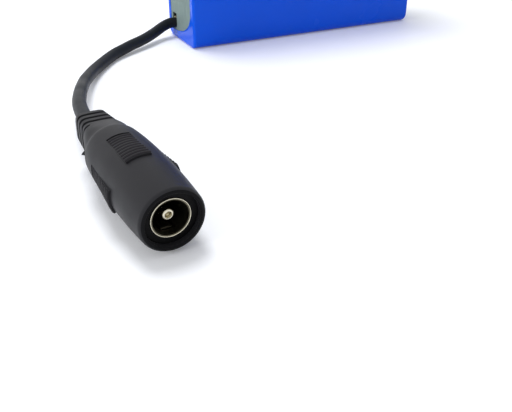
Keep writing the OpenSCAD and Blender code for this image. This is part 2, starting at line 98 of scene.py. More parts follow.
def ranged(tree, field, low, high, start=0.3, end=0.7):  # stretches start to end of a field over low to high
    spread = node(tree, "ShaderNodeMapRange")
    spread.inputs["From Min"].default_value = start
    spread.inputs["From Max"].default_value = end
    spread.inputs["To Min"].default_value = low
    spread.inputs["To Max"].default_value = high
    tree.links.new(field, spread.inputs["Value"])
    return spread.outputs["Result"]


def blended(tree, field, first, second):  # the first colour where the field is 0, the second where it is 1
    mix = node(tree, "ShaderNodeMix", data_type="RGBA")
    mix.inputs[6].default_value = first  # inputs 6 and 7 and output 2 are the colour ones
    mix.inputs[7].default_value = second
    tree.links.new(field, mix.inputs[0])
    return mix.outputs[2]


def shaded(color, factor):
    return tuple(min(1, channel * factor) for channel in color[:3]) + (1,)


finishDefaults = {
    "rough": 0.5, "metal": 0, "specular": 0.5, "coat": 0, "coatRough": 0.1, "transmission": 0,
    "mottle": 0.06, "mottleScale": 400, "mottleDetail": 3, "roughSpread": 0.06,
    "grainScale": 3000, "grainDetail": 2, "grainDepth": 0.01, "grainStrength": 0.6, "stretch": (1, 1, 1),
}


def surface(name, **changes):
    look = {**finishDefaults, **changes}
    material = bpy.data.materials.new(name)
    material.use_nodes = True
    tree = material.node_tree
    shader = tree.nodes["Principled BSDF"]
    shader.inputs["Metallic"].default_value = look["metal"]
    shader.inputs["Specular IOR Level"].default_value = look["specular"]
    shader.inputs["Coat Weight"].default_value = look["coat"]
    shader.inputs["Coat Roughness"].default_value = look["coatRough"]
    shader.inputs["Transmission Weight"].default_value = look["transmission"]
    mottle = noiseField(tree, look["mottleScale"], look["mottleDetail"], look["stretch"])
    shades = (shaded(look["color"], 1 - look["mottle"]), shaded(look["color"], 1 + look["mottle"]))
    tree.links.new(blended(tree, ranged(tree, mottle, 0, 1), *shades), shader.inputs["Base Color"])
    rough = ranged(tree, mottle, look["rough"] - look["roughSpread"], look["rough"] + look["roughSpread"])
    tree.links.new(rough, shader.inputs["Roughness"])
    grain = noiseField(tree, look["grainScale"], look["grainDetail"], look["stretch"])
    bump = node(tree, "ShaderNodeBump")
    bump.inputs["Strength"].default_value = look["grainStrength"]
    bump.inputs["Distance"].default_value = look["grainDepth"] * mm
    tree.links.new(grain, bump.inputs["Height"])
    tree.links.new(bump.outputs["Normal"], shader.inputs["Normal"])
    return material


filmBlue = surface(
    "filmBlue", color=tone(3, 91, 238), rough=0.24, specular=0.13, mottle=0.03, mottleScale=60, grainScale=90,
    grainDepth=0.05, roughSpread=0.04, coat=0.04, coatRough=0.08,
)
barleyPaper = surface(
    "barleyPaper", color=tone(132, 150, 146), rough=0.75, specular=0.25, mottle=0.1, mottleScale=900,
    grainScale=1600, grainDepth=0.05, stretch=(1, 1, 0.35),
)
mouldedBlack = surface(
    "mouldedBlack", color=tone(39, 39, 42), rough=0.5, specular=0.19, mottle=0.08, mottleScale=220,
    grainScale=2600, grainDepth=0.012,
)
ribBlack = surface(
    "ribBlack", color=tone(35, 34, 37), rough=0.6, specular=0.12, mottle=0.08, mottleScale=500,
    grainScale=2600, grainDepth=0.012,
)
# painted shade: a darker, duller copy of the moulded black for the front face of the mouth's rim
rimShadeBlack = surface(
    "rimShadeBlack", color=tone(19, 19, 21), rough=0.55, specular=0.08, mottle=0.1, mottleScale=300,
    grainScale=2600, grainDepth=0.01,
)
jacketBlack = surface(
    "jacketBlack", color=tone(30, 33, 38), rough=0.5, specular=0.12, mottle=0.12, mottleScale=150,
    grainScale=1500, grainDepth=0.015,
)
coreBlack = surface("coreBlack", color=tone(7, 7, 8), rough=0.55, specular=0.1, mottle=0.1, mottleScale=600)
# painted shade: a dark copy of the contact nickel for the contact sleeve and leaf deep in the mouth, where
# the lip and pin use the plain bright nickel
shadedNickel = surface(
    "shadedNickel", color=tone(96, 92, 78), rough=0.42, metal=1, mottle=0.12, mottleScale=900,
    grainScale=4000, grainDepth=0.006,
)
contactNickel = surface(
    "contactNickel", color=tone(214, 208, 188), rough=0.22, metal=1, mottle=0.05, mottleScale=900,
    grainScale=4000, grainDepth=0.004,
)

# one finish for each material slot of the construction; most are inside and show when the part is taken apart
slotFinishes = {
    "blue_film": filmBlue,
    "insulating_paper": barleyPaper,
    "bracket_plastic": surface("bracketPlastic", color=tone(28, 28, 30), rough=0.45),
    "can_steel": surface("canSteel", color=tone(190, 192, 196), rough=0.3, metal=1, stretch=(0.1, 1, 1)),
    "cell_film": surface("cellFilm", color=tone(70, 140, 84), rough=0.3, mottle=0.03),
    "cap_steel": surface("capSteel", color=tone(205, 205, 208), rough=0.25, metal=1),
    "gasket_plastic": surface("gasketPlastic", color=tone(50, 50, 54), rough=0.5),
    "washer_paper": surface("washerPaper", color=tone(232, 232, 226), rough=0.8, mottleScale=1500),
    "winding_foil": surface("windingFoil", color=tone(88, 80, 74), rough=0.4, metal=0.6, stretch=(0.2, 1, 1)),
    "nickel": surface("stripNickel", color=tone(198, 196, 188), rough=0.28, metal=1, stretch=(1, 1, 0.2)),
    "board_laminate": surface("boardLaminate", color=tone(22, 88, 44), rough=0.35, coat=0.4),
    "chip_plastic": surface("chipPlastic", color=tone(24, 24, 25), rough=0.6, mottleScale=2000),
    "component_ceramic": surface("componentCeramic", color=tone(176, 150, 108), rough=0.45),
    "solder": surface("solderTin", color=tone(205, 206, 206), rough=0.2, metal=1, mottleScale=900),
    "white_insulation": surface("whiteInsulation", color=tone(230, 230, 224), rough=0.35),
    "red_insulation": surface("redInsulation", color=tone(190, 24, 18), rough=0.35),
    "black_insulation": surface("blackInsulation", color=tone(20, 20, 21), rough=0.35),
    "hot_glue": surface(
        "hotGlue", color=tone(206, 198, 166), rough=0.3, transmission=0.2, grainScale=300, grainDepth=0.2,
    ),
    "cable_jacket": jacketBlack,
    "moulded_black": mouldedBlack,
    "core_plastic": coreBlack,
    # the contact sleeve and leaf take the dark nickel that carries painted shade
    "contact_nickel": shadedNickel,
}
for part in frame["record"]["subparts"]:
    slots = frame["nodes"][part["node"]].data.materials
    slots.clear()
    slots.append(slotFinishes[part["material_slot"]])
print("materials made:", len(slotFinishes), "slots painted")


# helpers that turn lists of points into finished pieces

def ringSkin(name, rings, closedAlong=False):  # quads between rings of equally many points
    count = len(rings[0])
    points = [point for ring in rings for point in ring]
    faces = []
    spans = len(rings) if closedAlong else len(rings) - 1
    for i in range(spans):
        near, far = i * count, (i + 1) % len(rings) * count
        for k in range(count):
            after = (k + 1) % count
            faces.append((near + k, far + k, far + after, near + after))
    mesh = bpy.data.meshes.new(name)
    mesh.from_pydata([Vector(point) * mm for point in points], [], faces)
    return meshObject(name, mesh)


def meshObject(name, mesh):  # merges doubled points and turns all faces outwards
    shape = bmesh.new()
    shape.from_mesh(mesh)
    bmesh.ops.remove_doubles(shape, verts=shape.verts, dist=1e-7)
    bmesh.ops.recalc_face_normals(shape, faces=shape.faces)
    shape.to_mesh(mesh)
    shape.free()
    made = bpy.data.objects.new(name, mesh)
    bpy.context.scene.collection.objects.link(made)
    return made


def smooth(piece, angle):  # edges sharper than the angle stay sharp
    for face in piece.data.polygons:
        face.use_smooth = True
    piece.data.set_sharp_from_angle(angle=math.radians(angle))


def settle(piece, material, slotName, *replaced):  # paints a piece, hides the nodes it stands in for and ties it to the body
    if material:
        piece.data.materials.append(material)
    if replaced:
        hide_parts(*replaced)
    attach(piece, packBody)
    return piece


def easeStep(value):  # 0 to 1 with a soft start and end
    value = max(0, min(1, value))
    return value * value * (3 - 2 * value)


def quarter(steps):  # angles from one step above 0 to 90 degrees
    return [math.radians(90 * step / steps) for step in range(1, steps + 1)]


# shrink sleeve: a rounded tube along X whose film folds in over both ends

sleeve = {
    "size": (74.7, 21, 59.8), "corner": 2.5, "edge": 0.8, "edgeShare": 0.6, "wall": 0.2,
    "lips": (2.7, 2, 2.3, 2.4), "lipSink": 0.1,  # lips: front, back, bottom, top
    # how far each window corner reaches across and up: bottom front, bottom back, top back, top front
    "windowCorners": ((13.2, 7.6), (2.2, 2.2), (3.2, 3.2), (3.6, 3.6)),
    "pleatDepth": 0.14, "pleatCount": 38, "pleatWander": 5, "pleatScale": 0.35, "pleatFlatten": 0.6,
    "rippleDepth": 0.07, "rippleReach": 5, "rippleScale": (0.12, 0.45, 0.45),
    "swellDepth": 0.03, "swellScale": (0.08, 0.1, 0.08), "swellPlace": (7, 1, 3),
    "faceMargin": 2, "flatBelow": 0.6, "endSteps": 8, "middleSteps": 60, "smoothAngle": 60,
    "arcSteps": 9, "shortSteps": 14, "longSteps": 40,
}


def outline(low, high, corners):
    # a rounded rectangle in Y and Z from its lowest and highest corner, each corner a quarter of an ellipse
    arcSteps = sleeve["arcSteps"]
    centres = []
    for k, (across, up) in enumerate(corners):
        y = low[0] + across if k in (0, 3) else high[0] - across
        z = low[1] + up if k in (0, 1) else high[1] - up
        centres.append((y, z, 180 + 90 * k, across, up))
    points = []
    for k, (y, z, start, across, up) in enumerate(centres):
        for step in range(arcSteps + 1):
            angle = math.radians(start + 90 * step / arcSteps)
            points.append((y + across * math.cos(angle), z + up * math.sin(angle)))
        nextY, nextZ, nextStart, nextAcross, nextUp = centres[(k + 1) % 4]
        turn = math.radians(nextStart)
        target = (nextY + nextAcross * math.cos(turn), nextZ + nextUp * math.sin(turn))
        here = points[-1]
        steps = sleeve["shortSteps"] if k % 2 == 0 else sleeve["longSteps"]
        for step in range(1, steps):
            share = step / steps
            points.append((here[0] + (target[0] - here[0]) * share, here[1] + (target[1] - here[1]) * share))
    return points


def sleeveSection(x, insets, corners):
    length, width, height = sleeve["size"]
    low = (-width / 2 + insets[0], insets[2])
    high = (width / 2 - insets[1], height - insets[3])
    return [(x, y, z) for y, z in outline(low, high, corners)]


def sleeveEnd(side):
    # from the cut edge of the lip, over the rounded edge, to the body of the sleeve; the end is at side * X
    end, edge, corner = sleeve["size"][0] / 2, sleeve["edge"], sleeve["corner"]
    steps = sleeve["endSteps"]
    sections = []
    for step in range(steps + 1):
        share = 1 - step / steps
        insets = [edge + (lip - edge) * share for lip in sleeve["lips"]]
        plain = corner - edge * sleeve["edgeShare"]
        corners = []
        for across, up in sleeve["windowCorners"]:
            corners.append((plain + (across - plain) * share, plain + (up - plain) * share))
        sections.append((side * (end - sleeve["lipSink"] * share), insets, corners, share))
    for angle in quarter(steps):
        inset = edge * (1 - math.sin(angle))
        corners = [(corner - inset * sleeve["edgeShare"],) * 2] * 4
        sections.append((side * (end - edge * (1 - math.cos(angle))), [inset] * 4, corners, 0))
    return sections


def makeSleeve():
    end = sleeve["size"][0] / 2 - sleeve["edge"]
    near = sleeveEnd(-1)
    far = sleeveEnd(1)
    steps = sleeve["middleSteps"]
    corners = [(sleeve["corner"],) * 2] * 4
    middle = [(-end + 2 * end * easeInOut(k / steps), [0] * 4, corners, 0) for k in range(1, steps)]
    rings = []
    for x, insets, corners, share in near + middle + far[::-1]:
        rings.append([wrinkled(point, share) for point in sleeveSection(x, insets, corners)])
    piece = ringSkin("shrinkSleeve", rings)
    smooth(piece, sleeve["smoothAngle"])
    thick = piece.modifiers.new("wall", "SOLIDIFY")
    thick.thickness = sleeve["wall"] * mm
    thick.offset = -1
    return settle(piece, filmBlue, "blue_film", "shrink_sleeve")


def easeInOut(share):  # stations closer together near both ends
    return 0.5 - 0.5 * math.cos(math.pi * share)


def halfWave(value):  # -1 to 1 becomes 0 to 1
    return 0.5 + 0.5 * value


def scaled(point, factors):
    return Vector(value * factor for value, factor in zip(point, factors))


def wrinkled(point, share):
    # the film puckers on the folded lips and ripples a little near both ends; it only ever moves inwards
    x, y, z = point
    length, width, height = sleeve["size"]
    if share > 0:
        seed = scaled(point, (sleeve["pleatScale"],) * 3)
        across = math.atan2((z - height / 2) * sleeve["pleatFlatten"], y)
        pleat = halfWave(math.sin(sleeve["pleatCount"] * across + sleeve["pleatWander"] * noise.noise(seed)))
        depth = sleeve["pleatDepth"] * share * pleat
        return (x - math.copysign(depth, x), y, z)
    ripple = halfWave(noise.noise(scaled(point, sleeve["rippleScale"])))
    swell = halfWave(noise.noise(scaled(point, sleeve["swellScale"]) + Vector(sleeve["swellPlace"])))
    fromEnd = length / 2 - abs(x)
    depth = sleeve["rippleDepth"] * ripple * math.exp(-fromEnd / sleeve["rippleReach"])
    depth += sleeve["swellDepth"] * swell
    pull = Vector((0, 0, 0))
    if abs(y) > width / 2 - sleeve["faceMargin"]:
        pull.y = -y
    onEdge = abs(z - height / 2) > height / 2 - sleeve["faceMargin"]
    if onEdge and z >= sleeve["flatBelow"]:  # the bottom stays flat on the floor
        pull.z = height / 2 - z
    if pull.length > 0:
        pull.normalize()
    return (x, y + pull.y * depth, z + pull.z * depth)


makeSleeve()
print("sleeve made")


# connector: shaped with its axis along X, the mouth at 0 and the tail towards +X, then set in place
# lengths along the axis are measured from the mouth

connector = {
    "mouth": (-78.95, -107.85, 6), "heading": 94.3, "tilt": 3, "length": 37.3,
    "segments": 144, "smoothAngle": 32,
    "mouthRadius": 5.5, "barrelRadius": 6, "barrelMiddle": 11.6, "barrelLength": 25.2, "barrelRound": 0.55,
    "frontPower": 2, "backPower": 2.5, "rimRound": 0.75, "rimShadeReach": 0.12,
    "shoulderRadius": 5.35, "shoulderStep": 0.2, "shoulderLift": 0.02, "shoulderFall": 0.22,
    "coreRadius": 4.6, "coreBack": 13.6, "chamberRadius": 3.5, "chamberBack": 28.3, "boreRadius": 1.5,
    "innerLip": ((0.5, 0), (0.15, 0.02), (0.03, 0.12), (0, 0.25)),  # place, and opening past the core
    "tailWidth": 2.95, "tailHeight": 2.95, "tailTaper": 0.08, "tailRound": 0.35,
    "flareEnd": 31.5, "flarePower": 1.2, "squareStart": 2, "squareGain": 3, "squareReach": 7,
}
grooves = {
    "places": (30.05, 31.9, 33.75, 35.6), "half": 0.42, "depth": 0.65, "flat": 0.62,
    "fadeFrom": 0.5, "fade": 0.2,
}
pads = {"start": 10.7, "end": 20.2, "halfAngle": 20.5, "raise": 0.36, "sink": 0.22, "turn": -8, "count": 4}
nub = {"place": 29, "angle": 346, "height": 0.9, "length": 0.3, "spread": 4}  # a burr of moulding flash
stations = {  # where the housing's rings stand: finer where the shape turns
    "rimSteps": 8, "frontSteps": 24, "padSteps": 24, "backSteps": 8, "roundSteps": 5,
    "padGap": 0.04, "padSlack": 0.001, "sideAngles": (-0.1, 0.25),
    "tailStart": 0.06, "tailPitch": 0.28, "tailCount": 16, "leastApart": 0.03,
    "grooveShares": (-1.3, -1, -0.87, -0.75, -0.6, 0, 0.6, 0.75, 0.87, 1, 1.3),
}


def setConnector():
    heading = Matrix.Rotation(math.radians(connector["heading"]), 4, "Z")
    tilt = Matrix.Rotation(-math.radians(connector["tilt"]), 4, "Y")
    return Matrix.Translation(Vector(connector["mouth"]) * mm) @ (heading @ tilt)


def barrelAt(s):  # radius: fullest at the middle, less towards the mouth and the shoulder
    middle, full = connector["barrelMiddle"], connector["barrelRadius"]
    if s < middle:
        return full - (full - connector["mouthRadius"]) * ((middle - s) / middle) ** connector["frontPower"]
    share = (s - middle) / (connector["barrelLength"] - middle)
    return full - (full - connector["shoulderRadius"]) * share ** connector["backPower"]


def tailHalf(s, endHalf):  # half size of the tail: a straight taper, and a flare that meets the barrel
    base = endHalf + connector["tailTaper"] * (connector["length"] - s)
    top = endHalf + connector["tailTaper"] * (connector["length"] - connector["barrelLength"])
    flare = connector["shoulderRadius"] - connector["shoulderStep"] - top
    share = max(0, (connector["flareEnd"] - s) / (connector["flareEnd"] - connector["barrelLength"]))
    return base + flare * share ** connector["flarePower"]


def grooveAt(s, angle):
    deepest = 0
    for k, middle in enumerate(grooves["places"]):
        away = abs(s - middle) / grooves["half"]
        depth = grooves["depth"] * (1 - easeStep((away - grooves["flat"]) / (1 - grooves["flat"])))
        if k == 0:  # the flare hides the first groove above and below
            depth *= easeStep((abs(math.cos(angle)) - grooves["fadeFrom"]) / grooves["fade"])
        deepest = max(deepest, depth)
    return deepest


def padAt(s, angle):  # each pad stands proud towards the mouth and sinks in towards the tail
    share = (s - pads["start"]) / (pads["end"] - pads["start"])
    apart = 360 / pads["count"]
    past = (math.degrees(angle) - pads["turn"]) % apart
    slack = stations["padSlack"]
    if not -slack <= share <= 1 + slack or min(past, apart - past) > pads["halfAngle"]:
        return 0
    return pads["raise"] - (pads["raise"] + pads["sink"]) * share


def housingAngles():  # even steps, and two more at each side of each pad
    angles = {round(360 * k / connector["segments"], 3) for k in range(connector["segments"])}
    for k in range(pads["count"]):
        middle = k * 360 / pads["count"] + pads["turn"]
        for side in (-1, 1):
            for away in stations["sideAngles"]:
                angles.add(round((middle + side * (pads["halfAngle"] + away)) % 360, 3))
    return [math.radians(angle) for angle in sorted(angles)]


def roundSection(radius):
    return lambda s, angle: radius


def barrelSection(s, angle):
    return barrelAt(s) + padAt(s, angle)


def tailSection(s, angle):  # round at the shoulder, nearly square at the end
    past = (s - connector["barrelLength"]) / connector["squareReach"]
    square = connector["squareStart"] + connector["squareGain"] * easeStep(past)
    width, height = tailHalf(s, connector["tailWidth"]), tailHalf(s, connector["tailHeight"])
    across, up = abs(math.cos(angle) / width) ** square, abs(math.sin(angle) / height) ** square
    reach = (across + up) ** (-1 / square)
    away = (math.degrees(angle) - nub["angle"] + 180) % 360 - 180
    burr = nub["height"] * math.exp(-((s - nub["place"]) / nub["length"]) ** 2 - (away / nub["spread"]) ** 2)
    return reach - grooveAt(s, angle) + burr


def shrunkTail(cut):  # the tail's last section, made smaller all round
    return lambda s, angle: tailSection(connector["length"] - connector["tailRound"], angle) - cut


def evenly(start, end, steps, first=0):  # places from start to end, without those before the first
    return [start + (end - start) * k / steps for k in range(first, steps + 1)]


def rimStations():  # the inner lip of the mouth and the rounded rim
    c, rim = connector, connector["rimRound"]
    rings = [(place, roundSection(c["coreRadius"] + opening)) for place, opening in c["innerLip"]]
    for angle in [0] + quarter(stations["rimSteps"]):
        rings.append((rim * (1 - math.cos(angle)), roundSection(barrelAt(rim) - rim * (1 - math.sin(angle)))))
    return rings


def barrelStations():  # the barrel from the rim past the pads to its rounded shoulder
    c, gap = connector, stations["padGap"]
    places = evenly(c["rimRound"], pads["start"] - gap, stations["frontSteps"], 1)
    places += evenly(pads["start"], pads["end"], stations["padSteps"])
    places += evenly(pads["end"] + gap, c["barrelLength"] - c["barrelRound"], stations["backSteps"])
    rings = [(place, barrelSection) for place in places]
    for angle in quarter(stations["roundSteps"]):
        radius = barrelAt(c["barrelLength"]) + c["shoulderLift"] - c["shoulderFall"] * (1 - math.cos(angle))
        rings.append((c["barrelLength"] - c["barrelRound"] * (1 - math.sin(angle)), roundSection(radius)))
    return rings


def tailStations():  # the tail with its grooves, and its rounded end
    c = connector
    first, pitch = c["barrelLength"] + stations["tailStart"], stations["tailPitch"]
    places = [first + pitch * k for k in range(stations["tailCount"])]
    for middle in grooves["places"]:
        places += [middle + grooves["half"] * share for share in stations["grooveShares"]]
    places = sorted(places)
    last = c["length"] - c["tailRound"]
    apart = [places[0]]
    for place in places[1:]:
        if place - apart[-1] > stations["leastApart"]:
            apart.append(place)
    rings = [(place, tailSection) for place in apart if place < last] + [(last, tailSection)]
    for angle in quarter(stations["roundSteps"]):
        cut = c["tailRound"] * (1 - math.cos(angle))
        rings.append((last + c["tailRound"] * math.sin(angle), shrunkTail(cut)))
    return rings


def insideStations():  # back through the cable's bore and the chamber to the core's seat
    c = connector
    steps = [
        (c["length"], c["boreRadius"]), (c["chamberBack"], c["boreRadius"]),
        (c["chamberBack"], c["chamberRadius"]), (c["coreBack"], c["chamberRadius"]),
        (c["coreBack"], c["coreRadius"]),
    ]
    return [(place, roundSection(radius)) for place, radius in steps]


def makeHousing():
    angles = housingAngles()
    rings = []
    for s, section in rimStations() + barrelStations() + tailStations() + insideStations():
        ring = []
        for angle in angles:
            radius = section(s, angle)
            ring.append((s, radius * math.cos(angle), radius * math.sin(angle)))
        rings.append(ring)
    piece = ringSkin("connectorHousing", rings, closedAlong=True)
    smooth(piece, connector["smoothAngle"])
    piece.data.materials.append(mouldedBlack)
    piece.data.materials.append(rimShadeBlack)
    # faces at the very front of the rim take the darker black that carries painted shade
    for face in piece.data.polygons:
        if face.center.x < connector["rimShadeReach"] * mm:
            face.material_index = 1
    piece.data.transform(setConnector())
    return settle(piece, None, "moulded_black", "connector_housing")


makeHousing()
print("connector housing made")


# grip ribs: one tree repeats a rib along a pad and the pad round the barrel

ribs = {
    "count": 10, "first": 11.2, "pitch": 0.93, "halfAngle": 19.8, "thick": 0.4, "flat": 0.42,
    "sides": 10, "arcPoints": 12, "smoothAngle": 50,
}


def groupInput(tree, name, kind, value):
    socket = tree.interface.new_socket(name, in_out="INPUT", socket_type=kind)
    if value is not None:
        socket.default_value = value
    return socket.identifier


def makeRibs():
    holder = meshObject("gripRibs", bpy.data.meshes.new("gripRibs"))
    tree = bpy.data.node_groups.new("gripRibs", "GeometryNodeTree")
    tree.interface.new_socket("Geometry", in_out="INPUT", socket_type="NodeSocketGeometry")
    tree.interface.new_socket("Geometry", in_out="OUTPUT", socket_type="NodeSocketGeometry")
    nearRadius = barrelAt(ribs["first"]) + padAt(ribs["first"], 0)
    lastPlace = ribs["first"] + ribs["pitch"] * (ribs["count"] - 1)
    farRadius = barrelAt(lastPlace) + padAt(lastPlace, 0)
    values = {
        "Rib Count": ("NodeSocketInt", ribs["count"]),
        "Rib Pitch": ("NodeSocketFloat", ribs["pitch"] * mm),
        "First Rib": ("NodeSocketFloat", ribs["first"] * mm),
        "Near Radius": ("NodeSocketFloat", nearRadius * mm),
        "Far Scale": ("NodeSocketFloat", farRadius / nearRadius),
        "Rib Thickness": ("NodeSocketFloat", ribs["thick"] * mm),
        "Rib Sweep": ("NodeSocketFloat", math.radians(2 * ribs["halfAngle"])),
        "Pad Count": ("NodeSocketInt", pads["count"]),
        "Rib Material": ("NodeSocketMaterial", None),
    }
    names = {name: groupInput(tree, name, kind, value) for name, (kind, value) in values.items()}
    link = tree.links.new
    given = node(tree, "NodeGroupInput").outputs
    result = node(tree, "NodeGroupOutput")

    def maths(operation, first, second):
        made = node(tree, "ShaderNodeMath", operation=operation)
        for socket, value in zip(made.inputs, (first, second)):
            if isinstance(value, (int, float)):
                socket.default_value = value
            else:
                link(value, socket)
        return made.outputs[0]

    def vector(**parts):
        made = node(tree, "ShaderNodeCombineXYZ")
        for axis, value in parts.items():
            if isinstance(value, (int, float)):
                made.inputs[axis].default_value = value
            else:
                link(value, made.inputs[axis])
        return made.outputs[0]

    # one rib: a low round bar along an arc
    arc = node(tree, "GeometryNodeCurveArc", mode="RADIUS")
    arc.inputs["Resolution"].default_value = ribs["arcPoints"]
    link(given["Near Radius"], arc.inputs["Radius"])
    link(given["Rib Sweep"], arc.inputs["Sweep Angle"])
    halfSweep = maths("MULTIPLY", given["Rib Sweep"], 0.5)
    link(maths("SUBTRACT", math.pi / 2, halfSweep), arc.inputs["Start Angle"])
    upright = node(tree, "GeometryNodeTransform")
    upright.inputs["Rotation"].default_value = (math.pi / 2, 0, math.pi / 2)  # from X and Y to Y and Z
    link(arc.outputs["Curve"], upright.inputs["Geometry"])
    profile = node(tree, "GeometryNodeCurvePrimitiveCircle", mode="RADIUS")
    profile.inputs["Resolution"].default_value = ribs["sides"]
    link(given["Rib Thickness"], profile.inputs["Radius"])
    low = node(tree, "GeometryNodeTransform")
    low.inputs["Scale"].default_value = (1, ribs["flat"], 1)
    link(profile.outputs["Curve"], low.inputs["Geometry"])
    bar = node(tree, "GeometryNodeCurveToMesh")
    bar.inputs["Fill Caps"].default_value = True
    link(upright.outputs["Geometry"], bar.inputs["Curve"])
    link(low.outputs["Geometry"], bar.inputs["Profile Curve"])

    # the ribs of one pad, scaled to follow the barrel and the pad's slope
    row = node(tree, "GeometryNodeMeshLine", mode="OFFSET")
    link(given["Rib Count"], row.inputs["Count"])
    link(vector(X=given["First Rib"]), row.inputs["Start Location"])
    link(vector(X=given["Rib Pitch"]), row.inputs["Offset"])
    index = node(tree, "GeometryNodeInputIndex").outputs["Index"]
    share = maths("DIVIDE", index, maths("SUBTRACT", given["Rib Count"], 1))
    scale = maths("ADD", 1, maths("MULTIPLY", share, maths("SUBTRACT", given["Far Scale"], 1)))
    along = node(tree, "GeometryNodeInstanceOnPoints")
    link(row.outputs["Mesh"], along.inputs["Points"])
    link(bar.outputs["Mesh"], along.inputs["Instance"])
    link(vector(X=1.0, Y=scale, Z=scale), along.inputs["Scale"])

    # the pads round the barrel
    spots = node(tree, "GeometryNodeMeshLine", mode="OFFSET")
    spots.inputs["Offset"].default_value = (0, 0, 0)
    link(given["Pad Count"], spots.inputs["Count"])
    turn = maths("DIVIDE", maths("MULTIPLY", index, 2 * math.pi), given["Pad Count"])
    about = node(tree, "GeometryNodeInstanceOnPoints")
    link(spots.outputs["Mesh"], about.inputs["Points"])
    link(along.outputs["Instances"], about.inputs["Instance"])
    link(vector(X=maths("ADD", turn, math.radians(pads["turn"]))), about.inputs["Rotation"])
    realize = node(tree, "GeometryNodeRealizeInstances")
    link(about.outputs["Instances"], realize.inputs["Geometry"])
    paint = node(tree, "GeometryNodeSetMaterial")
    link(realize.outputs["Geometry"], paint.inputs["Geometry"])
    link(given["Rib Material"], paint.inputs["Material"])
    link(paint.outputs["Geometry"], result.inputs["Geometry"])

    modifier = holder.modifiers.new("ribs", "NODES")
    modifier.node_group = tree
    modifier[names["Rib Material"]] = ribBlack
    holder.data = plainMesh(holder, "gripRibs")
    holder.modifiers.clear()
    holder.data.transform(setConnector())
    smooth(holder, ribs["smoothAngle"])
    return settle(holder, None, "moulded_black", "connector_housing")


def plainMesh(holder, name):
    graph = bpy.context.evaluated_depsgraph_get()
    mesh = bpy.data.meshes.new_from_object(holder.evaluated_get(graph), depsgraph=graph)
    mesh.name = name
    return mesh


gripRibs = makeRibs()
print("grip ribs made:", len(gripRibs.data.polygons), "faces")


# what shows in the mouth: the contact sleeve's rolled lip and the centre pin

socket = {
    "coreRecess": 1.2, "ringOuter": 3.4, "ringInner": 3.2, "ringLead": 0.12, "ringSides": 14, "segments": 96,
    "depth": 10.4, "smoothAngle": 40,
}
pin = {
    "radius": 1, "recess": 2, "nose": 0.32, "noseSteps": 7, "hole": 0.52, "holeDepth": 1.6, "holeTaper": 0.3,
    "holeLip": 0.12, "holeFlare": 0.1, "shank": 0.8, "back": 17.1, "axis": 0.001, "segments": 64,
}


def lathe(name, profile, segments):
    # turns a closed profile of (radius, distance from the mouth) about the axis
    rings = []
    for radius, s in profile:
        angles = [2 * math.pi * k / segments for k in range(segments)]
        rings.append([(s, radius * math.cos(angle), radius * math.sin(angle)) for angle in angles])
    piece = ringSkin(name, rings, closedAlong=True)
    piece.data.transform(setConnector())
    smooth(piece, socket["smoothAngle"])
    return piece


def makeRingLip():
    middle = (socket["ringOuter"] + socket["ringInner"]) / 2
    half = (socket["ringOuter"] - socket["ringInner"]) / 2
    front = socket["coreRecess"] - socket["ringLead"]
    angles = [2 * math.pi * k / socket["ringSides"] for k in range(socket["ringSides"])]
    profile = [(middle + half * math.cos(angle), front + half * math.sin(angle)) for angle in angles]
    return settle(lathe("contactSleeveLip", profile, socket["segments"]), contactNickel, "contact_nickel")


def makePin():
    tip, hole, nose, bottom = pin["recess"], pin["hole"], pin["nose"], pin["recess"] + pin["holeDepth"]
    profile = [(pin["axis"], bottom), (hole, bottom - pin["holeTaper"])]
    profile += [(hole, tip + pin["holeLip"]), (hole + pin["holeFlare"], tip)]
    for angle in [0] + quarter(pin["noseSteps"]):
        profile.append((pin["radius"] - nose * (1 - math.sin(angle)), tip + nose * (1 - math.cos(angle))))
    profile += [(pin["radius"], socket["depth"]), (pin["shank"], socket["depth"])]
    profile += [(pin["shank"], pin["back"]), (pin["axis"], pin["back"])]
    return settle(lathe("centrePin", profile, pin["segments"]), contactNickel, "contact_nickel", "centre_pin")


makeRingLip()
makePin()
print("socket made")


# cable: the same points as in the construction, inside end first

cable = {
    "diameter": 3, "resolution": 8, "bevelResolution": 10,
    "route": [
        (-33.45, 5.7, 4.3), (-37.35, 5.7, 4.3), (-38.7, 5.7, 4.3), (-41, 5, 3.8), (-43.9, 3.1, 3.1),
        (-47.2, 0.5, 2.6), (-50.5, -1.9, 2.3), (-54, -4.2, 2.1), (-57.1, -6.3, 1.8), (-60, -8.5, 1.6),
        (-62.5, -11.2, 1.5), (-64.8, -14.2, 1.5), (-67, -17.4, 1.6), (-69.1, -20.8, 1.8), (-71, -24.5, 2.1),
        (-72.7, -28.4, 2.6), (-74.3, -32.6, 3.2), (-75.7, -36.9, 3.8), (-77, -41.3, 4.5), (-78.2, -45.6, 5.1),
        (-79.3, -50, 5.8), (-80.2, -54, 6.4), (-80.9, -58, 6.9), (-81.4, -62, 7.3), (-81.7, -66, 7.7),
    ],
    "exit": (-37.35, 5.7, 4.3), "heldInTail": 7,
}


def makeCable():
    place = setConnector()
    end = connector["length"]
    tail = [place @ Vector((s * mm, 0, 0)) for s in (end, end - cable["heldInTail"])]
    points = [Vector(point) * mm for point in cable["route"]] + tail
    curve = bpy.data.curves.new("outputCable", "CURVE")
    curve.dimensions = "3D"
    curve.resolution_u = cable["resolution"]
    curve.bevel_depth = cable["diameter"] / 2 * mm
    curve.bevel_resolution = cable["bevelResolution"]
    curve.use_fill_caps = True
    line = curve.splines.new("BEZIER")
    line.bezier_points.add(len(points) - 1)
    for k, (knot, point) in enumerate(zip(line.bezier_points, points)):
        before, after = points[max(k - 1, 0)], points[min(k + 1, len(points) - 1)]
        slope = (after - before).normalized()
        knot.co = point
        knot.handle_left = point - slope * (point - before).length / 3
        knot.handle_right = point + slope * (after - point).length / 3
    piece = bpy.data.objects.new("outputCable", curve)
    bpy.context.scene.collection.objects.link(piece)
    settle(piece, jacketBlack, "cable_jacket", "output_cable")


makeCable()


# floor and light

